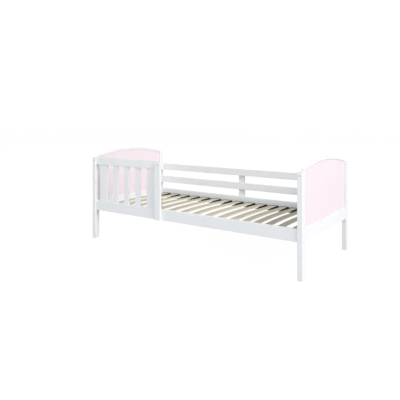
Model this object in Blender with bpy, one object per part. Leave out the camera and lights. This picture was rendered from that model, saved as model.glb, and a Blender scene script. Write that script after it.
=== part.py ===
"""Toddler bed for an 80 x 180 cm mattress: two arched end panels between posts, side rails, a front
guard at the head end, two back rails and sixteen sprung slats in black holders.

X runs along the bed from the head end (-X) to the foot end (+X), Y across it from the open front
(-Y) to the back (+Y), and Z up from the floor. The origin is on the floor under the bed's middle.
Every piece is its own object and its own closed solid."""

import bmesh
import bpy
from mathutils import Matrix, Vector
from math import cos, pi, radians, sin

# Driving dimensions, in metres.
LENGTH = 1.866  # over the posts, head to foot
WIDTH = 0.880  # over the posts, front to back
POST_HEIGHT = 0.673
POST_X = 0.035
POST_Y = 0.043
GAP = 0.0003  # clearance between pieces that touch
EDGE = 0.0015  # eased edge of every board

# Rails: a side rail stands back from the posts' faces, an end rail is centred on them.
RAIL_BOTTOM = 0.236
RAIL_TOP = 0.316
SIDE_RAIL_THICK = 0.022
SIDE_RAIL_RECESS = 0.008
END_RAIL_THICK = 0.018
HOUSING = 0.010  # how deep an end rail, a panel or a guard board sits in its neighbour

# Panels and the arched rails that cap them.
PANEL_THICK = 0.004
ARCH_APEX = 0.732
ARCH_END = 0.688
ARCH_HEIGHT = 0.016
ARCH_THICK = 0.012
ARCH_GROOVE = 0.008
ARCH_STEPS = 40
PANEL_SHOULDER = 0.655  # the panel's tongues in the posts stop here, under the posts' tops

# Front guard at the head end. Distances along X are from the bed's head end.
GUARD_RAIL_BOTTOM = 0.615
GUARD_BOARD_THICK = 0.012
GUARD_FIRST_GAP = 0.043
GUARD_GAP = 0.070
GUARD_HEAD_BOARD = 0.083
GUARD_FOOT_BOARD = 0.100
GUARD_NARROW = 0.050
GUARD_SLATS = 3
STRAP_WIDTH = 0.054  # the guard's end post and the board behind the back rails
STRAP_THICK = 0.018
GUARD_LENGTH = 0.743  # from the bed's head end to the guard's free end

# Back rails.
BACK_RAIL_HEIGHT = 0.056
BACK_RAIL_BOTTOMS = (0.379, 0.499)

# Sprung slats and their holders.
SLAT_WIDTH = 0.066
SLAT_WIDTH_FOOT = 0.051
SLAT_NARROWING = (9, 0.0036)  # number of the last full-width slat, and the step down after it
SLAT_THICK = 0.0075
SLAT_END_TOP = 0.276
SLAT_BOW = 0.008
SLAT_SEAT = 0.070  # length of each end of a slat that lies flat
SLAT_STEPS = 13  # odd, so that the middle facet lies flat
FIRST_SLAT = 0.124  # centre of the first slat from the bed's head end
SLAT_PITCHES = [0.1155] * 8 + [0.111, 0.106, 0.096, 0.0905, 0.0905, 0.096, 0.107]  # from head to foot
HOLDER_STRIP_DEPTH = 0.040
HOLDER_STRIP_BOTTOM = 0.237
HOLDER_STRIP_TOP = 0.262
HOLDER_STRIP_END = 0.856  # half length of the strip
HOLDER_DEPTH = 0.146  # from the side rail to the holder's open front end
HOLDER_WALL = 0.007
HOLDER_BACK = 0.016  # thickness behind the slat's end
HOLDER_LIP_DEPTH = 0.005
HOLDER_LIP = 0.001  # height of a holder's cheeks and lip over the slat's end
SLAT_FIT = 0.0004

# Hardware.
STUD_Z = 0.288
STUD_RADIUS = 0.003
STUD_IN_POST = 0.022
STUD_IN_RAIL = 0.044
STUD_POINT = 0.003
NUT_RADIUS = 0.005
NUT_LENGTH = 0.014
NUT_INSET = 0.034  # from the rail's end to the barrel nut
SCREW_RADIUS = 0.002
SCREW_LENGTH = 0.034
SCREW_HEAD_RADIUS = 0.0045
SCREW_HEAD_THICK = 0.0018
SCREW_SINK = 0.0012
LOW_FIXING_Z = 0.298  # clear of the slat holders
PLUG_RADIUS = 0.0035
PLUG_DEPTH = 0.010
PLUG_HEAD_RADIUS = 0.0048
PLUG_HEAD_THICK = 0.0012
TOP_FIXING_Z = 0.647  # height of the post plugs and of the guard's upper screw
ROUND_SIDES = 24

# Worked out from the above.
HALF_L = LENGTH / 2
HALF_W = WIDTH / 2
POST_CENTRE_X = HALF_L - POST_X / 2
POST_CENTRE_Y = HALF_W - POST_Y / 2
POST_INNER_X = HALF_L - POST_X
POST_INNER_Y = HALF_W - POST_Y
RAIL_OUTER_Y = HALF_W - SIDE_RAIL_RECESS
RAIL_INNER_Y = RAIL_OUTER_Y - SIDE_RAIL_THICK
RAIL_CENTRE_Y = RAIL_OUTER_Y - SIDE_RAIL_THICK / 2
SLAT_END_Y = RAIL_INNER_Y - GAP - HOLDER_BACK - SLAT_FIT
ENDS = {"head": -1, "foot": 1}
SIDES = {"front": -1, "back": 1}


def clear_scene():
    for old in list(bpy.data.objects):
        bpy.data.objects.remove(old, do_unlink=True)


def material(name, colour, roughness, metallic=0.0):
    made = bpy.data.materials.new(name)
    made.use_nodes = True
    shader = made.node_tree.nodes["Principled BSDF"]
    shader.inputs["Base Color"].default_value = (*colour, 1.0)
    shader.inputs["Roughness"].default_value = roughness
    shader.inputs["Metallic"].default_value = metallic
    return made


def new_object(name, build, finish):
    """An object of the mesh that build(bm) fills, with its normals facing out."""
    bm = bmesh.new()
    build(bm)
    bmesh.ops.recalc_face_normals(bm, faces=bm.faces)
    mesh = bpy.data.meshes.new(name)
    bm.to_mesh(mesh)
    bm.free()
    made = bpy.data.objects.new(name, mesh)
    bpy.context.scene.collection.objects.link(made)
    if finish:
        mesh.materials.append(finish)
    return made


def add_box(bm, low, high):
    middle = (Vector(low) + Vector(high)) / 2
    size = Vector(high) - Vector(low)
    place = Matrix.Translation(middle) @ Matrix.Diagonal((*size, 1.0))
    bmesh.ops.create_cube(bm, size=1.0, matrix=place)


def ease(obj, width=EDGE, segments=2):
    bevel = obj.modifiers.new("eased_edges", "BEVEL")
    bevel.width = width
    bevel.segments = segments
    bevel.limit_method = "ANGLE"
    bevel.angle_limit = radians(40)


def board(name, low, high, finish, edge=EDGE):
    made = new_object(name, lambda bm: add_box(bm, low, high), finish)
    if edge:
        ease(made, edge)
    return made


def mirrored_box(side, near, far, x_range, z_range):
    """Corners of a box whose |y| runs from near to far, on the front (-1) or the back (1)."""
    ys = sorted((side * near, side * far))
    return (x_range[0], ys[0], z_range[0]), (x_range[1], ys[1], z_range[1])


def add_prism(bm, outline, low_x, high_x):
    """A prism along X of an outline of (y, z) points."""
    rows = [[bm.verts.new((x, y, z)) for y, z in outline] for x in (low_x, high_x)]
    bm.faces.new(rows[0])
    bm.faces.new(reversed(rows[1]))
    for i in range(len(outline)):
        j = (i + 1) % len(outline)
        bm.faces.new((rows[0][i], rows[0][j], rows[1][j], rows[1][i]))


def add_turned(bm, profile, place):
    """A turned solid about local Z: profile lists (radius, z) from one end to the other."""
    rings = []
    for radius, z in profile:
        angles = [2 * pi * k / ROUND_SIDES for k in range(ROUND_SIDES)]
        rings.append([bm.verts.new(place @ Vector((radius * cos(a), radius * sin(a), z))) for a in angles])
    bm.faces.new(rings[0])
    bm.faces.new(reversed(rings[-1]))
    for low, high in zip(rings, rings[1:]):
        for k in range(ROUND_SIDES):
            n = (k + 1) % ROUND_SIDES
            bm.faces.new((low[k], low[n], high[n], high[k]))


def along(axis, origin):
    """Local Z turned to a world axis such as (0, -1, 0), with its zero at origin."""
    turn = Vector((0, 0, 1)).rotation_difference(Vector(axis)).to_matrix().to_4x4()
    return Matrix.Translation(origin) @ turn


def smooth(obj):
    obj.data.shade_smooth()
    obj.data.set_sharp_from_angle(angle=radians(30))


def turned(name, profile, axis, origin, finish):
    made = new_object(name, lambda bm: add_turned(bm, profile, along(axis, origin)), finish)
    smooth(made)
    return made


def cut(obj, name, build):
    """Takes what build(bm) fills out of obj, with a hidden cutter that stays in the scene."""
    cutter = new_object("cutter_" + name, build, None)
    cutter.hide_render = True
    cutter.display_type = "WIRE"
    boolean = obj.modifiers.new(name, "BOOLEAN")
    boolean.operation = "DIFFERENCE"
    boolean.solver = "EXACT"
    boolean.object = cutter


def arch_z(y):
    """Height of the arched rail's top: one circular arc through both ends and the apex."""
    half_chord = POST_INNER_Y
    rise = ARCH_APEX - ARCH_END
    radius = (half_chord**2 + rise**2) / (2 * rise)
    return ARCH_APEX - radius + (radius**2 - y**2) ** 0.5


def arch_points(drop, half_width, steps=ARCH_STEPS):
    """Points (y, z) along the arch from the front to the back, drop below its top."""
    ys = [half_width * (2 * k / steps - 1) for k in range(steps + 1)]
    return [(y, arch_z(y) - drop) for y in ys]


def slat_centres():
    """X of each slat: even over the head half, closing up towards the foot end."""
    centres = [FIRST_SLAT - HALF_L]
    for pitch in SLAT_PITCHES:
        centres.append(centres[-1] + pitch)
    return centres


def slat_width(number):
    last_full, step = SLAT_NARROWING
    return max(SLAT_WIDTH_FOOT, SLAT_WIDTH - step * max(0, number - last_full))


def slat_places():
    """X and width of each slat, in order from the head end."""
    return [(x, slat_width(number)) for number, x in enumerate(slat_centres(), start=1)]


def slat_top(y):
    """The slat's bowed top, flat at its ends."""
    bowed = SLAT_END_Y - SLAT_SEAT
    share = min(abs(y) / bowed, 1.0)
    return SLAT_END_TOP + SLAT_BOW * (1 - share**2)


def guard_layout():
    """Name, low X and high X of each upright board in the guard."""
    x = GUARD_FIRST_GAP - POST_INNER_X
    layout = []
    widths = [("guard_board_head", GUARD_HEAD_BOARD)]
    widths += [(f"guard_slat_{k + 1}", GUARD_NARROW) for k in range(GUARD_SLATS)]
    widths += [("guard_board_foot", GUARD_FOOT_BOARD)]
    for name, width in widths:
        layout.append((name, x, x + width))
        x += width + GUARD_GAP
    return layout


def make_post(end_name, side_name):
    """A square post with a groove for the panel, a housing for the end rail and its bores."""
    end, side = ENDS[end_name], SIDES[side_name]
    low, high = mirrored_box(
        side,
        POST_INNER_Y,
        HALF_W,
        sorted((end * POST_INNER_X, end * HALF_L)),
        (0.0, POST_HEIGHT),
    )
    post = board(f"post_{end_name}_{side_name}", low, high, WHITE, 0.002)
    centre_x = end * POST_CENTRE_X
    inner = POST_INNER_Y - 0.005
    seat = POST_INNER_Y + HOUSING + GAP

    def fill(bm):
        half = PANEL_THICK / 2 + GAP
        groove = (centre_x - half, centre_x + half)
        zs = (RAIL_TOP - HOUSING - GAP, PANEL_SHOULDER + GAP)
        add_box(bm, *mirrored_box(side, inner, seat, groove, zs))

    def rail_housing(bm):
        half = END_RAIL_THICK / 2 + GAP
        housing = (centre_x - half, centre_x + half)
        add_box(bm, *mirrored_box(side, inner, seat, housing, (RAIL_BOTTOM - GAP, RAIL_TOP + GAP)))

    def stud_bore(bm):
        begin = Vector((end * (POST_INNER_X - 0.005), side * RAIL_CENTRE_Y, STUD_Z))
        radius = STUD_RADIUS + GAP
        depth = 0.005 + STUD_IN_POST + GAP
        add_turned(bm, [(radius, 0), (radius, depth)], along((end, 0, 0), begin))

    def plug_bore(bm):
        outside = Vector((centre_x, side * (HALF_W + 0.002), TOP_FIXING_Z))
        bore = PLUG_RADIUS + GAP
        profile = [(bore, 0), (bore, 0.002 + PLUG_DEPTH + GAP)]
        add_turned(bm, profile, along((0, -side, 0), outside))

    label = f"{end_name}_{side_name}"
    cut(post, f"panel_groove_{label}", fill)
    cut(post, f"rail_housing_{label}", rail_housing)
    cut(post, f"stud_bore_{label}", stud_bore)
    cut(post, f"plug_bore_{label}", plug_bore)


def make_post_plug(end_name, side_name):
    """The grey plug that closes the spare guard hole in a post."""
    end, side = ENDS[end_name], SIDES[side_name]
    face = Vector((end * POST_CENTRE_X, side * (HALF_W + GAP), TOP_FIXING_Z))
    profile = [
        (PLUG_HEAD_RADIUS * 0.75, -PLUG_HEAD_THICK),
        (PLUG_HEAD_RADIUS, -PLUG_HEAD_THICK * 0.4),
        (PLUG_HEAD_RADIUS, 0),
        (PLUG_RADIUS, 0),
        (PLUG_RADIUS, PLUG_DEPTH),
    ]
    turned(f"post_plug_{end_name}_{side_name}", profile, (0, -side, 0), face, GREY_PLUG)


def make_rail_stud(end_name, side_name):
    """The stud that joins a side rail to a post, hidden inside both."""
    end, side = ENDS[end_name], SIDES[side_name]
    inner_end = Vector((end * (POST_INNER_X - STUD_IN_RAIL), side * RAIL_CENTRE_Y, STUD_Z))
    length = STUD_IN_RAIL + STUD_IN_POST
    profile = [
        (STUD_RADIUS * 0.7, 0),
        (STUD_RADIUS, STUD_POINT * 0.4),
        (STUD_RADIUS, length - STUD_POINT),
        (STUD_RADIUS * 0.4, length),
    ]
    turned(f"rail_stud_{end_name}_{side_name}", profile, (end, 0, 0), inner_end, STEEL)


def nut_place(end, side):
    return Vector((end * (POST_INNER_X - NUT_INSET), side * (RAIL_CENTRE_Y - NUT_LENGTH / 2), STUD_Z))


def make_barrel_nut(end_name, side_name):
    """The cross nut in the side rail that the stud runs through."""
    end, side = ENDS[end_name], SIDES[side_name]
    start = nut_place(end, side)
    profile = [(NUT_RADIUS, 0), (NUT_RADIUS, NUT_LENGTH)]
    nut = turned(f"barrel_nut_{end_name}_{side_name}", profile, (0, side, 0), start, STEEL)

    def bore(bm):
        begin = Vector((start.x + 0.01, side * RAIL_CENTRE_Y, STUD_Z))
        radius = STUD_RADIUS + GAP
        add_turned(bm, [(radius, 0), (radius, 0.02)], along((-1, 0, 0), begin))

    cut(nut, f"nut_bore_{end_name}_{side_name}", bore)


def make_side_rail(side_name):
    """A full-length side rail, bored for its fixings. The front one is housed for the guard's boards."""
    side = SIDES[side_name]
    reach = POST_INNER_X - GAP
    low, high = mirrored_box(
        side, RAIL_INNER_Y, RAIL_OUTER_Y, (-reach, reach), (RAIL_BOTTOM, RAIL_TOP)
    )
    rail = board(f"side_rail_{side_name}", low, high, WHITE)
    for end_name, end in ENDS.items():

        def stud_bore(bm):
            begin = Vector((end * (POST_INNER_X + 0.005), side * RAIL_CENTRE_Y, STUD_Z))
            radius = STUD_RADIUS + GAP
            depth = 0.005 + STUD_IN_RAIL + GAP
            add_turned(bm, [(radius, 0), (radius, depth)], along((-end, 0, 0), begin))

        def nut_bore(bm):
            begin = nut_place(end, side)
            begin.y = side * (RAIL_INNER_Y - 0.005)
            radius = NUT_RADIUS + GAP
            depth = abs(RAIL_CENTRE_Y - RAIL_INNER_Y) + 0.005 + NUT_LENGTH / 2 + GAP
            add_turned(bm, [(radius, 0), (radius, depth)], along((0, side, 0), begin))

        cut(rail, f"rail_stud_bore_{end_name}_{side_name}", stud_bore)
        cut(rail, f"rail_nut_bore_{end_name}_{side_name}", nut_bore)
    if side_name == "front":
        cut(rail, "lower_mortises", lambda bm: add_mortises(bm, RAIL_TOP - HOUSING - GAP, RAIL_TOP + 0.005))
        cut(rail, "lower_guard_screw_bore", lambda bm: add_screw_bore(bm, "front", GUARD_SCREWS["lower"]))
    else:
        cut(rail, "low_support_screw_bore", lambda bm: add_screw_bore(bm, "back", SUPPORT_SCREWS["low"]))


def add_mortises(bm, low_z, high_z):
    half = GUARD_BOARD_THICK / 2 + GAP
    for _, low_x, high_x in guard_layout():
        xs = (low_x - GAP, high_x + GAP)
        add_box(bm, *mirrored_box(-1, RAIL_CENTRE_Y - half, RAIL_CENTRE_Y + half, xs, (low_z, high_z)))


# The guard's end post and the back support board are screwed to the outer faces of the rails. A
# screw is (x, z, way): way 1 drives it in from outside, and -1 from the rail's inner face.
GUARD_STRAP_X = GUARD_LENGTH - STRAP_WIDTH / 2 - HALF_L
STRAP_INNER_Y = RAIL_OUTER_Y + GAP
STRAP_OUTER_Y = RAIL_OUTER_Y + STRAP_THICK
GUARD_SCREWS = {"upper": (GUARD_STRAP_X, TOP_FIXING_Z, 1), "lower": (GUARD_STRAP_X, LOW_FIXING_Z, -1)}
SUPPORT_SCREWS = {
    "low": (0.0, LOW_FIXING_Z, 1),
    "middle": (0.0, BACK_RAIL_BOTTOMS[0] + BACK_RAIL_HEIGHT / 2, 1),
    "top": (0.0, BACK_RAIL_BOTTOMS[1] + BACK_RAIL_HEIGHT / 2, 1),
}


def screw_place(side, screw, past):
    """Local frame of a screw: zero lies past its face, and local Z runs the way it is driven."""
    x, z, way = screw
    face = STRAP_OUTER_Y if way == 1 else RAIL_INNER_Y
    return along((0, -side * way, 0), Vector((x, side * (face + way * past), z)))


def add_screw_bore(bm, side_name, screw):
    """The bore of one wood screw through a strap and its rail, with a seat for its head."""
    head = SCREW_HEAD_RADIUS + GAP
    shank = SCREW_RADIUS + GAP
    seat = 0.002 + SCREW_SINK + GAP
    profile = [(head, 0), (head, seat), (shank, seat), (shank, 0.002 + SCREW_SINK + SCREW_LENGTH + GAP)]
    add_turned(bm, profile, screw_place(SIDES[side_name], screw, 0.002))


def make_screw(name, side_name, screw):
    """A wood screw with a low domed head."""
    profile = [
        (SCREW_HEAD_RADIUS * 0.6, -SCREW_HEAD_THICK),
        (SCREW_HEAD_RADIUS, -SCREW_HEAD_THICK * 0.4),
        (SCREW_HEAD_RADIUS, 0),
        (SCREW_RADIUS, 0),
        (SCREW_RADIUS, SCREW_LENGTH * 0.85),
        (SCREW_RADIUS * 0.3, SCREW_LENGTH),
    ]
    made = new_object(
        name,
        lambda bm: add_turned(bm, profile, screw_place(SIDES[side_name], screw, -SCREW_SINK)),
        STEEL,
    )
    smooth(made)


def make_strap(name, side_name, x, top, screws):
    """A vertical board on the outer faces of the rails, bored for the screws that hold it."""
    side = SIDES[side_name]
    xs = (x - STRAP_WIDTH / 2, x + STRAP_WIDTH / 2)
    low, high = mirrored_box(side, STRAP_INNER_Y, STRAP_OUTER_Y, xs, (RAIL_BOTTOM, top))
    strap = board(name, low, high, WHITE, 0.002)
    for label, screw in screws.items():
        cut(strap, f"{name}_bore_{label}", lambda bm: add_screw_bore(bm, side_name, screw))


def make_back_rails():
    """Two rails between the back posts, above the side rail."""
    reach = POST_INNER_X - GAP
    for level, bottom, label in zip(("lower", "upper"), BACK_RAIL_BOTTOMS, ("middle", "top")):
        zs = (bottom, bottom + BACK_RAIL_HEIGHT)
        low, high = mirrored_box(1, RAIL_INNER_Y, RAIL_OUTER_Y, (-reach, reach), zs)
        rail = board(f"back_rail_{level}", low, high, WHITE)
        screw = SUPPORT_SCREWS[label]
        cut(rail, f"{label}_support_screw_bore", lambda bm: add_screw_bore(bm, "back", screw))


def make_back_support():
    top = BACK_RAIL_BOTTOMS[1] + BACK_RAIL_HEIGHT
    make_strap("back_support_board", "back", 0.0, top, SUPPORT_SCREWS)
    for label, screw in SUPPORT_SCREWS.items():
        make_screw(f"support_screw_{label}", "back", screw)


def make_guard():
    """The front guard: a top rail, upright boards housed in both rails, and an end post."""
    xs = (GAP - POST_INNER_X, GUARD_LENGTH - HALF_L)
    low, high = mirrored_box(-1, RAIL_INNER_Y, RAIL_OUTER_Y, xs, (GUARD_RAIL_BOTTOM, POST_HEIGHT))
    rail = board("guard_top_rail", low, high, WHITE)
    mortise_zs = (GUARD_RAIL_BOTTOM - 0.005, GUARD_RAIL_BOTTOM + HOUSING + GAP)
    cut(rail, "upper_mortises", lambda bm: add_mortises(bm, *mortise_zs))
    cut(rail, "upper_guard_screw_bore", lambda bm: add_screw_bore(bm, "front", GUARD_SCREWS["upper"]))
    half = GUARD_BOARD_THICK / 2
    zs = (RAIL_TOP - HOUSING, GUARD_RAIL_BOTTOM + HOUSING)
    for name, low_x, high_x in guard_layout():
        corners = mirrored_box(-1, RAIL_CENTRE_Y - half, RAIL_CENTRE_Y + half, (low_x, high_x), zs)
        board(name, *corners, WHITE)
    make_strap("guard_end_post", "front", GUARD_STRAP_X, POST_HEIGHT, GUARD_SCREWS)
    for label, screw in GUARD_SCREWS.items():
        make_screw(f"guard_screw_{label}", "front", screw)


def make_end(end_name):
    """The bottom rail, panel and arched top rail between the two posts of one end."""
    centre_x = ENDS[end_name] * POST_CENTRE_X
    half_rail = END_RAIL_THICK / 2
    half_arch = ARCH_THICK / 2
    half_panel = PANEL_THICK / 2
    reach = POST_INNER_Y + HOUSING
    bottom = board(
        f"{end_name}_bottom_rail",
        (centre_x - half_rail, -reach, RAIL_BOTTOM),
        (centre_x + half_rail, reach, RAIL_TOP),
        WHITE,
    )

    def bottom_groove(bm):
        half = half_panel + GAP
        low = (centre_x - half, -reach - 0.005, RAIL_TOP - HOUSING - GAP)
        add_box(bm, low, (centre_x + half, reach + 0.005, RAIL_TOP + 0.005))

    cut(bottom, f"{end_name}_bottom_groove", bottom_groove)

    # The panel's tongues run into the posts below their tops, and its arched top into the top rail.
    inside = POST_INNER_Y - GAP
    outline = [(-reach, RAIL_TOP - HOUSING), (reach, RAIL_TOP - HOUSING)]
    outline += [(reach, PANEL_SHOULDER), (inside, PANEL_SHOULDER)]
    outline += list(reversed(arch_points(ARCH_HEIGHT - ARCH_GROOVE + GAP, inside)))
    outline += [(-inside, PANEL_SHOULDER), (-reach, PANEL_SHOULDER)]
    new_object(
        f"{end_name}_panel",
        lambda bm: add_prism(bm, outline, centre_x - half_panel, centre_x + half_panel),
        PINK,
    )

    # The arched rail's section is a channel over the panel's edge.
    top = arch_points(0.0, inside)
    under = arch_points(ARCH_HEIGHT, inside)
    rail = new_object(
        f"{end_name}_arch_rail",
        lambda bm: add_prism(bm, top + list(reversed(under)), centre_x - half_arch, centre_x + half_arch),
        WHITE,
    )
    ease(rail)

    def arch_groove(bm):
        past = POST_INNER_Y + 0.005
        roof = arch_points(ARCH_HEIGHT - ARCH_GROOVE, past)
        floor = arch_points(ARCH_HEIGHT + 0.010, past)
        half = half_panel + GAP
        add_prism(bm, roof + list(reversed(floor)), centre_x - half, centre_x + half)

    cut(rail, f"{end_name}_arch_groove", arch_groove)


def make_slat(number, x):
    """One sprung slat, bowed upwards, its ends lying in the holders."""
    flat_from = SLAT_END_Y - SLAT_SEAT
    ys = [flat_from * (2 * k / SLAT_STEPS - 1) for k in range(SLAT_STEPS + 1)]
    ys = [-SLAT_END_Y] + ys + [SLAT_END_Y]
    top = [(y, slat_top(y)) for y in ys]
    under = [(y, slat_top(y) - SLAT_THICK) for y in reversed(ys)]
    half = slat_width(number) / 2
    slat = new_object(f"slat_{number:02d}", lambda bm: add_prism(bm, top + under, x - half, x + half), BIRCH)
    ease(slat, 0.001, 1)


def make_holder_rail(side_name):
    """A moulded black strip on the inside of a side rail, with an open holder for each slat's end."""
    side = SIDES[side_name]
    back = RAIL_INNER_Y - GAP
    zs = (HOLDER_STRIP_BOTTOM, HOLDER_STRIP_TOP)
    ends = (-HOLDER_STRIP_END, HOLDER_STRIP_END)
    low, high = mirrored_box(side, back - HOLDER_STRIP_DEPTH, back, ends, zs)
    strip = new_object(f"slat_holder_rail_{side_name}", lambda bm: add_box(bm, low, high), DARK_PLASTIC)
    top = SLAT_END_TOP + SLAT_FIT + HOLDER_LIP

    def blocks(bm):
        # Each block stands in the strip, so that the join has no shared faces.
        zs = (HOLDER_STRIP_TOP - 0.004, top)
        for x, width in slat_places():
            outer = width / 2 + SLAT_FIT + HOLDER_WALL
            add_box(bm, *mirrored_box(side, back - HOLDER_DEPTH, back - GAP, (x - outer, x + outer), zs))

    def pockets(bm):
        # One profile for all: the slat's seat, open at its front end and on top up to the lip.
        seat = SLAT_END_TOP - SLAT_THICK - SLAT_FIT
        mouth = back - HOLDER_DEPTH - 0.005
        deep = back - HOLDER_BACK
        lip = deep - HOLDER_LIP_DEPTH
        under_lip = top - HOLDER_LIP
        over = top + 0.005
        outline = [(mouth, seat), (deep, seat), (deep, under_lip), (lip, under_lip)]
        outline += [(lip, over), (mouth, over)]
        for x, width in slat_places():
            half = width / 2 + SLAT_FIT
            add_prism(bm, [(side * y, z) for y, z in outline], x - half, x + half)

    joined = new_object(f"cutter_holder_blocks_{side_name}", blocks, None)
    joined.hide_render = True
    joined.display_type = "WIRE"
    union = strip.modifiers.new("holders", "BOOLEAN")
    union.operation = "UNION"
    union.solver = "EXACT"
    union.object = joined
    cut(strip, f"pockets_{side_name}", pockets)


clear_scene()
WHITE = material("white_lacquer", (0.83, 0.84, 0.86), 0.42)
PINK = material("pink_panel", (0.90, 0.78, 0.85), 0.45)
BIRCH = material("birch_slat", (0.66, 0.58, 0.44), 0.5)
DARK_PLASTIC = material("black_plastic", (0.02, 0.02, 0.02), 0.5)
GREY_PLUG = material("screw_dark", (0.45, 0.45, 0.46), 0.45)
STEEL = material("zinc_steel", (0.35, 0.35, 0.37), 0.35, 1.0)

for end_name in ENDS:
    make_end(end_name)
    for side_name in SIDES:
        make_post(end_name, side_name)
        make_post_plug(end_name, side_name)
        make_rail_stud(end_name, side_name)
        make_barrel_nut(end_name, side_name)
for side_name in SIDES:
    make_side_rail(side_name)
    make_holder_rail(side_name)
make_back_rails()
make_back_support()
make_guard()
for number, x in enumerate(slat_centres(), start=1):
    make_slat(number, x)
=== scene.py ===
"""Looks for a white toddler bed with pink arched end panels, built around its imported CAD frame.

The frame's +X runs from the head end to the foot end, +Y from the open front to the back, +Z up, in
metres, with the origin on the floor under the bed's middle."""

from math import cos, pi, radians, sin

import bmesh
import bpy
from mathutils import Matrix, Vector


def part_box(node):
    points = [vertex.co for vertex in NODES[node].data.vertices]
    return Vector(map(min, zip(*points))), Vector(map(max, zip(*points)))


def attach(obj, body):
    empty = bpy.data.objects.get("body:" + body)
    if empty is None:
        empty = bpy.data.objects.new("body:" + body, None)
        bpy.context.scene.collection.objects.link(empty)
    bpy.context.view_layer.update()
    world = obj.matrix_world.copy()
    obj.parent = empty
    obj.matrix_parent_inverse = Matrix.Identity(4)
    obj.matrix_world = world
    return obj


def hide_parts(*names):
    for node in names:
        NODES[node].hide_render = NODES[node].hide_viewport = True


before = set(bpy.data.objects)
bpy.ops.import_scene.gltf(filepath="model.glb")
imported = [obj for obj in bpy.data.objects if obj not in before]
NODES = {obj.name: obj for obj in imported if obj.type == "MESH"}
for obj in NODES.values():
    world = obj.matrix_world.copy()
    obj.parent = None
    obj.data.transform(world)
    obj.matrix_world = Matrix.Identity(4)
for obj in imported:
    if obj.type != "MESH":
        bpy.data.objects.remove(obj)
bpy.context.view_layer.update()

# Sizes of the slat base, in metres. The slats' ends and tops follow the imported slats.
SLAT_COUNT = 16
SLAT_END_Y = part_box("slat_01")[1][1]
SLAT_THICK = 0.0075
SLAT_BOW = 0.008
SLAT_END_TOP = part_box("slat_01")[1][2] - SLAT_BOW
SLAT_SEAT = 0.070  # length of each end that lies flat in its holder
SLAT_RINGS = 36
PLY_PITCH = 0.0027
HOLDER_FIT = 0.0004
# The holders' thick black walls, their 13 cm reach and the black batten below them make the band seen
# between the slats' ends near each rail dark, down to the batten's foot.
HOLDER_WALL = 0.007
HOLDER_RIM = 0.008
HOLDER_LIP = 0.001
HOLDER_LIP_DEPTH = 0.005
HOLDER_CORNER = 0.004
HOLDER_REACH = 0.13  # from the slat's end to the holder's open front
LEDGER_FRONT = 0.3697  # distance of the batten's inner face from the bed's middle
LEDGER_TOP = 0.262

# ---------------------------------------------------------------- camera, light and floor

# Strengths of the light that the sky and the floor cast, and of the white that the camera sees.
SKY_LIGHT = 0.57
SKY_HEAD_SIDE = 0.22
FLOOR_LIGHT = 0.64
SEEN_FLOOR = 0.96
SEEN_WHITE = 1.05


def make_camera():
    data = bpy.data.cameras.new("camera")
    data.sensor_width = 36.0
    data.lens = 42.25
    data.shift_y = -0.205
    data.clip_end = 100.0
    camera = bpy.data.objects.new("camera", data)
    bpy.context.scene.collection.objects.link(camera)
    camera.location = (2.071, -3.141, 1.002)
    camera.rotation_euler = (radians(90.0), 0.0, radians(35.15))
    bpy.context.scene.camera = camera


def area_light(name, place, target, size, watts, colour):
    data = bpy.data.lights.new(name, "AREA")
    data.shape = "RECTANGLE"
    data.size, data.size_y = size
    data.energy = watts
    data.color = colour
    light = bpy.data.objects.new(name, data)
    bpy.context.scene.collection.objects.link(light)
    light.location = place
    light.rotation_euler = (Vector(target) - Vector(place)).to_track_quat("-Z", "Y").to_euler()
    return light


def strength_for_light(tree, socket, seen, cast):
    """An emission that looks white to the camera, and lights the object less than it looks."""
    path = tree.nodes.new("ShaderNodeLightPath")
    strength = tree.nodes.new("ShaderNodeMix")
    tree.links.new(path.outputs["Is Camera Ray"], strength.inputs[0])
    strength.inputs[3].default_value = seen
    if isinstance(cast, bpy.types.NodeSocket):
        tree.links.new(cast, strength.inputs[2])
    else:
        strength.inputs[2].default_value = cast
    tree.links.new(strength.outputs[0], socket)


def make_world():
    """An even white studio, a little darker on the side behind the headboard."""
    world = bpy.data.worlds.new("studio")
    world.use_nodes = True
    tree = world.node_tree
    background = tree.nodes["Background"]
    background.inputs["Color"].default_value = (0.985, 0.995, 1.0, 1.0)
    direction = tree.nodes.new("ShaderNodeTexCoord")
    split = tree.nodes.new("ShaderNodeSeparateXYZ")
    tree.links.new(direction.outputs["Generated"], split.inputs["Vector"])
    sky = tree.nodes.new("ShaderNodeMapRange")
    sky.interpolation_type = "SMOOTHSTEP"
    tree.links.new(split.outputs["X"], sky.inputs["Value"])
    sky.inputs["From Min"].default_value = -0.8
    sky.inputs["From Max"].default_value = 0.0
    sky.inputs["To Min"].default_value = SKY_HEAD_SIDE
    sky.inputs["To Max"].default_value = SKY_LIGHT
    strength_for_light(tree, background.inputs["Strength"], SEEN_WHITE, sky.outputs["Result"])
    bpy.context.scene.world = world


def make_floor():
    bm = bmesh.new()
    bmesh.ops.create_grid(bm, x_segments=1, y_segments=1, size=30.0)
    mesh = bpy.data.meshes.new("floor")
    bm.to_mesh(mesh)
    bm.free()
    floor = bpy.data.objects.new("floor", mesh)
    bpy.context.scene.collection.objects.link(floor)
    floor.location.z = -0.001
    material = bpy.data.materials.new("floor_paper")
    material.use_nodes = True
    shader = material.node_tree.nodes["Principled BSDF"]
    shader.inputs["Base Color"].default_value = (0.07, 0.07, 0.07, 1.0)
    shader.inputs["Roughness"].default_value = 0.9
    shader.inputs["Specular IOR Level"].default_value = 0.0
    shader.inputs["Emission Color"].default_value = (1.0, 1.0, 1.0, 1.0)
    strength_for_light(material.node_tree, shader.inputs["Emission Strength"], SEEN_FLOOR, FLOOR_LIGHT)
    mesh.materials.append(material)


# ---------------------------------------------------------------- materials


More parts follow.
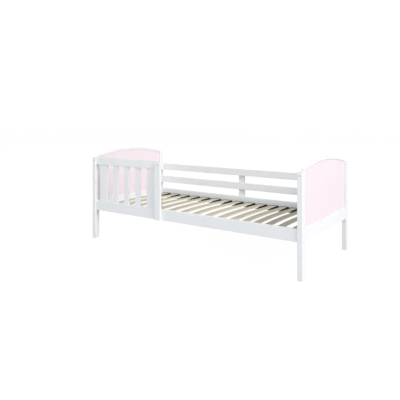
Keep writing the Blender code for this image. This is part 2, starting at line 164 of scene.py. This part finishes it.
class Nodes:
    """Short calls for building one material's node tree."""

    def __init__(self, name):
        self.material = bpy.data.materials.new(name)
        self.material.use_nodes = True
        self.tree = self.material.node_tree
        self.shader = self.tree.nodes["Principled BSDF"]

    def add(self, kind, inputs=None, **settings):
        node = self.tree.nodes.new(kind)
        for key, value in settings.items():
            setattr(node, key, value)
        for key, value in (inputs or {}).items():
            if isinstance(value, bpy.types.NodeSocket):
                self.tree.links.new(value, node.inputs[key])
            else:
                node.inputs[key].default_value = value
        return node

    def place(self, scale, shift=(0.0, 0.0, 0.0)):
        """Object coordinates, which are the row frame's, stretched by scale."""
        source = self.add("ShaderNodeTexCoord")
        inputs = {"Vector": source.outputs["Object"], "Scale": scale, "Location": shift}
        mapping = self.add("ShaderNodeMapping", inputs)
        return mapping.outputs["Vector"]

    def noise(self, scale, size, detail=3.0, rough=0.5, shift=(0.0, 0.0, 0.0), distortion=0.0):
        inputs = {"Vector": self.place(scale, shift), "Scale": size, "Detail": detail}
        inputs["Roughness"] = rough
        inputs["Distortion"] = distortion
        return self.add("ShaderNodeTexNoise", inputs).outputs["Fac"]

    def ramp(self, value, stops):
        node = self.add("ShaderNodeValToRGB", {"Fac": value})
        elements = node.color_ramp.elements
        while len(elements) < len(stops):
            elements.new(0.5)
        for element, (at, colour) in zip(elements, stops):
            element.position = at
            element.color = (*colour, 1.0)
        return node.outputs["Color"]

    def remap(self, value, low, high, to_low, to_high):
        node = self.add(
            "ShaderNodeMapRange",
            {"Value": value, "From Min": low, "From Max": high, "To Min": to_low, "To Max": to_high},
        )
        return node.outputs["Result"]

    def mix(self, share, first, second, blend="MIX"):
        node = self.add("ShaderNodeMix", data_type="RGBA", blend_type=blend)
        for slot, value in ((0, share), (6, first), (7, second)):
            if isinstance(value, bpy.types.NodeSocket):
                self.tree.links.new(value, node.inputs[slot])
            else:
                node.inputs[slot].default_value = value
        return node.outputs[2]

    def math(self, operation, first, second):
        node = self.add("ShaderNodeMath", operation=operation)
        for slot, value in ((0, first), (1, second)):
            if isinstance(value, bpy.types.NodeSocket):
                self.tree.links.new(value, node.inputs[slot])
            else:
                node.inputs[slot].default_value = value
        return node.outputs["Value"]

    def bump(self, height, strength, distance, normal=None):
        inputs = {"Height": height, "Strength": strength, "Distance": distance}
        if normal is not None:
            inputs["Normal"] = normal
        return self.add("ShaderNodeBump", inputs).outputs["Normal"]

    def finish(self, **inputs):
        """Puts each value on the shader's socket: linked if it is a socket, set if it is constant."""
        for key, value in inputs.items():
            socket = self.shader.inputs[key.replace("_", " ")]
            if isinstance(value, bpy.types.NodeSocket):
                self.tree.links.new(value, socket)
            else:
                socket.default_value = value
        return self.material


def along(axis, length_scale, cross_scale):
    """Mapping scale for grain that runs along X, Y or Z."""
    scale = [cross_scale] * 3
    scale["XYZ".index(axis)] = length_scale
    return tuple(scale)


def white_lacquer(axis):
    """Satin lacquer sprayed over pine: the grain only just telegraphs through."""
    n = Nodes("white_lacquer_" + axis.lower())
    clouds = n.noise((1.0, 1.0, 1.0), 5.0, 2.0, 0.5)
    grain = n.noise(along(axis, 6.0, 240.0), 1.0, 4.0, 0.6)
    peel = n.noise((1.0, 1.0, 1.0), 900.0, 1.0, 0.4)
    tint = n.ramp(clouds, [(0.3, (0.760, 0.778, 0.798)), (0.7, (0.784, 0.800, 0.818))])
    colour = n.mix(n.remap(grain, 0.35, 0.75, 0.0, 0.22), tint, (0.730, 0.742, 0.760, 1.0))
    normal = n.bump(grain, 0.10, 0.0006)
    normal = n.bump(peel, 0.05, 0.0002, normal)
    return n.finish(
        Base_Color=colour,
        Roughness=n.remap(clouds, 0.3, 0.7, 0.40, 0.48),
        Specular_IOR_Level=0.35,
        Normal=normal,
    )


def pink_panel():
    """Thin board with a smooth pale pink lacquer."""
    n = Nodes("pink_panel")
    clouds = n.noise((1.0, 1.0, 1.0), 4.0, 2.0, 0.5)
    peel = n.noise((1.0, 1.0, 1.0), 700.0, 1.0, 0.4)
    colour = n.ramp(clouds, [(0.3, (0.773, 0.683, 0.738)), (0.7, (0.788, 0.701, 0.755))])
    return n.finish(
        Base_Color=colour,
        Roughness=n.remap(clouds, 0.3, 0.7, 0.42, 0.50),
        Specular_IOR_Level=0.3,
        Normal=n.bump(peel, 0.05, 0.0002),
    )


def birch_slat():
    """Laminated birch: long grain on the faces, pale and darker plies in turn along the edges."""
    n = Nodes("birch_slat")
    figure = n.noise((18.0, 1.2, 6.0), 1.6, 5.0, 0.55, distortion=0.6)
    pores = n.noise((420.0, 9.0, 420.0), 1.0, 3.0, 0.6)
    board = n.noise((7.0, 0.15, 0.2), 1.0, 1.0, 0.5, shift=(0.37, 0.0, 0.0))
    stops = [(0.25, (0.425, 0.392, 0.292)), (0.55, (0.515, 0.482, 0.376)), (0.80, (0.568, 0.534, 0.428))]
    face = n.ramp(figure, stops)
    face = n.mix(n.remap(board, 0.3, 0.7, 0.0, 0.35), face, (0.556, 0.513, 0.398, 1.0))
    face = n.mix(n.remap(pores, 0.55, 0.80, 0.0, 0.35), face, (0.31, 0.265, 0.18, 1.0))
    where = n.add("ShaderNodeSeparateXYZ", {"Vector": n.place((1.0, 1.0, 1.0))})
    curve = SLAT_BOW / (SLAT_END_Y - SLAT_SEAT) ** 2
    sag = n.math("MULTIPLY", n.math("POWER", where.outputs["Y"], 2.0), curve)
    height = n.math("ADD", where.outputs["Z"], sag)
    layer = n.math("SINE", n.math("MULTIPLY", height, 2 * pi / PLY_PITCH), 0.0)
    share = n.remap(layer, -0.2, 0.2, 0.0, 1.0)
    plies = n.mix(share, (0.84, 0.81, 0.71, 1.0), (0.74, 0.70, 0.58, 1.0))
    facing = n.add("ShaderNodeSeparateXYZ", {"Vector": n.add("ShaderNodeNewGeometry").outputs["Normal"]})
    edge = n.remap(n.math("ABSOLUTE", facing.outputs["X"], 0.0), 0.5, 0.9, 0.0, 1.0)
    return n.finish(
        Base_Color=n.mix(edge, face, plies),
        Roughness=n.remap(figure, 0.2, 0.8, 0.48, 0.62),
        Specular_IOR_Level=0.3,
        Normal=n.bump(pores, 0.2, 0.0004),
    )


def black_plastic():
    n = Nodes("black_plastic")
    grain = n.noise((1.0, 1.0, 1.0), 1400.0, 2.0, 0.5)
    clouds = n.noise((1.0, 1.0, 1.0), 40.0, 2.0, 0.5)
    colour = n.ramp(clouds, [(0.3, (0.008, 0.007, 0.006)), (0.7, (0.014, 0.012, 0.010))])
    return n.finish(
        Base_Color=colour,
        Roughness=n.remap(clouds, 0.3, 0.7, 0.50, 0.62),
        Specular_IOR_Level=0.25,
        Normal=n.bump(grain, 0.2, 0.0002),
    )


def screw_metal(name, dark, light, metallic):
    n = Nodes(name)
    turning = n.noise((1.0, 1.0, 1.0), 600.0, 3.0, 0.6)
    return n.finish(
        Base_Color=n.ramp(turning, [(0.3, dark), (0.7, light)]),
        Roughness=n.remap(turning, 0.3, 0.7, 0.30, 0.50),
        Metallic=metallic,
        Normal=n.bump(turning, 0.1, 0.0001),
    )


# ---------------------------------------------------------------- slats and their holders


def new_piece(name, bm, material, smooth_angle=None):
    bmesh.ops.recalc_face_normals(bm, faces=bm.faces)
    mesh = bpy.data.meshes.new(name)
    bm.to_mesh(mesh)
    bm.free()
    mesh.materials.append(material)
    if smooth_angle is not None:
        mesh.shade_smooth()
        mesh.set_sharp_from_angle(angle=radians(smooth_angle))
    piece = bpy.data.objects.new(name, mesh)
    bpy.context.scene.collection.objects.link(piece)
    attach(piece, "root")
    return piece


def slat_top(y):
    share = min(abs(y) / (SLAT_END_Y - SLAT_SEAT), 1.0)
    return SLAT_END_TOP + SLAT_BOW * (1 - share**2)


def arc(centre, radius, start, steps=4):
    """Points of a quarter circle, turning left from the start angle."""
    angles = [radians(start + 90 * k / steps) for k in range(steps + 1)]
    return [(centre[0] + radius * cos(a), centre[1] + radius * sin(a)) for a in angles]


def rounded_section(width, thick, radius):
    """Corners of a rounded rectangle, as (x, z) with its top at z = 0."""
    x = width / 2 - radius
    top, low = -radius, radius - thick
    corners = (((x, top), 0), ((-x, top), 90), ((-x, low), 180), ((x, low), 270))
    return [point for centre, start in corners for point in arc(centre, radius, start, 3)]


def make_slat(number, material):
    low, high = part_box(f"slat_{number:02d}")
    x = (low[0] + high[0]) / 2
    section = rounded_section(high[0] - low[0], SLAT_THICK, 0.0012)
    bm = bmesh.new()
    rings = []
    for k in range(SLAT_RINGS + 1):
        y = SLAT_END_Y * (2 * k / SLAT_RINGS - 1)
        rings.append([bm.verts.new((x + dx, y, slat_top(y) + dz)) for dx, dz in section])
    bm.faces.new(rings[0])
    bm.faces.new(reversed(rings[-1]))
    bridge(bm, rings)
    piece = new_piece(f"birch_slat_{number:02d}", bm, material, 40)
    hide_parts(f"slat_{number:02d}")


def bridge(bm, rings):
    """Joins each ring of points to the next with a band of faces."""
    for near, far in zip(rings, rings[1:]):
        for k in range(len(near)):
            n = (k + 1) % len(near)
            bm.faces.new((near[k], near[n], far[n], far[k]))


def add_prism(bm, outline, z0, z1, ease=0.0):
    """An upright solid over a plan outline, its edges eased."""
    made = bmesh.new()
    bottom = [made.verts.new((x, y, z0)) for x, y in outline]
    top = [made.verts.new((x, y, z1)) for x, y in outline]
    made.faces.new(bottom)
    made.faces.new(reversed(top))
    bridge(made, [bottom, top])
    bmesh.ops.recalc_face_normals(made, faces=made.faces)
    if ease:
        sharp = [e for e in made.edges if e.calc_face_angle(0.0) > radians(35)]
        bmesh.ops.bevel(made, geom=sharp, offset=ease, segments=2, profile=0.5, affect="EDGES")
    mesh = bpy.data.meshes.new("prism")
    made.to_mesh(mesh)
    made.free()
    bm.from_mesh(mesh)
    bpy.data.meshes.remove(mesh)


def make_ledger(side_name, side, material):
    """The batten that the holders stand on, along the inside of a side rail."""
    low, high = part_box(f"slat_holder_rail_{side_name}")
    # Black like the holders, which keeps the band seen through the gaps under the slats' ends dark down
    # to this batten's foot.
    ys = sorted((side * LEDGER_FRONT, side * abs(high[1] if side > 0 else low[1])))
    bm = bmesh.new()
    outline = [(low[0], ys[0]), (high[0], ys[0]), (high[0], ys[1]), (low[0], ys[1])]
    add_prism(bm, outline, low[2], LEDGER_TOP, 0.0012)
    piece = new_piece(f"ledger_{side_name}", bm, material, 40)
    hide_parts(f"slat_holder_rail_{side_name}")


def make_holder(side_name, side, number, material):
    """A moulded cup round one end of a slat: a foot, three walls and a lip over the slat's end."""
    low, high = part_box(f"slat_{number:02d}")
    middle = (low[0] + high[0]) / 2
    half = (high[0] - low[0]) / 2 + HOLDER_FIT
    outer = half + HOLDER_WALL
    mouth = SLAT_END_Y - HOLDER_REACH
    inner = SLAT_END_Y + HOLDER_FIT
    back = inner + HOLDER_RIM
    seat = SLAT_END_TOP - SLAT_THICK - HOLDER_FIT
    top = SLAT_END_TOP + HOLDER_FIT + HOLDER_LIP
    r = HOLDER_CORNER
    rear = arc((outer - r, back - r), r, 0) + arc((r - outer, back - r), r, 90)
    foot = [(-outer, mouth), (outer, mouth)] + rear
    pocket = [(-half, mouth), (-half, inner), (half, inner), (half, mouth)]
    walls = [(outer, mouth)] + rear + [(-outer, mouth)] + pocket
    lip_ys = (inner - HOLDER_LIP_DEPTH, inner + 0.002)
    lip = [(-half, lip_ys[0]), (half, lip_ys[0]), (half, lip_ys[1]), (-half, lip_ys[1])]
    bm = bmesh.new()
    for outline, z0, z1, ease in (
        (foot, LEDGER_TOP + 0.0002, seat, 0.0008),
        (walls, seat - 0.0006, top, 0.0008),
        (lip, SLAT_END_TOP + HOLDER_FIT, top - 0.0003, 0.0),
    ):
        add_prism(bm, [(middle + x, side * y) for x, y in outline], z0, z1, ease)
    new_piece(f"slat_holder_{side_name}_{number:02d}", bm, material, 40)


def dress(name, material):
    mesh = NODES[name].data
    mesh.materials.clear()
    mesh.materials.append(material)


def dress_frame():
    white = {axis: white_lacquer(axis) for axis in "XYZ"}
    grain = {"X": ("side_rail", "back_rail", "guard_top"), "Y": ("arch_rail", "bottom_rail")}
    pink = pink_panel()
    birch = birch_slat()
    black = black_plastic()
    dark = screw_metal("screw_dark", (0.40, 0.40, 0.41), (0.50, 0.50, 0.51), 0.0)
    zinc = screw_metal("zinc_steel", (0.30, 0.30, 0.32), (0.42, 0.42, 0.44), 1.0)
    for name in NODES:
        if name.endswith("panel"):
            material = pink
        elif name.startswith("slat_holder"):
            material = black
        elif name.startswith("slat_"):
            material = birch
        elif name.startswith("post_plug"):
            material = dark
        elif "screw" in name or "stud" in name or "nut" in name:
            material = zinc
        else:
            axis = next((a for a, words in grain.items() if any(w in name for w in words)), "Z")
            material = white[axis]
        dress(name, material)


def make_slat_base():
    birch = birch_slat()
    black = black_plastic()
    for number in range(1, SLAT_COUNT + 1):
        make_slat(number, birch)
    for side_name, side in (("front", -1), ("back", 1)):
        make_ledger(side_name, side, black)
        for number in range(1, SLAT_COUNT + 1):
            make_holder(side_name, side, number, black)


make_camera()
make_world()
make_floor()
area_light("key", (9.75, -2.25, 8.2), (0.0, 0.0, 0.3), (5.0, 5.0), 1265.0, (1.0, 0.985, 0.97))
area_light("front_fill", (0.6, -4.2, 3.4), (0.0, 0.0, 0.4), (4.0, 2.0), 102.0, (0.975, 0.985, 1.0))
dress_frame()
make_slat_base()

bpy.context.scene.view_settings.view_transform = "Standard"
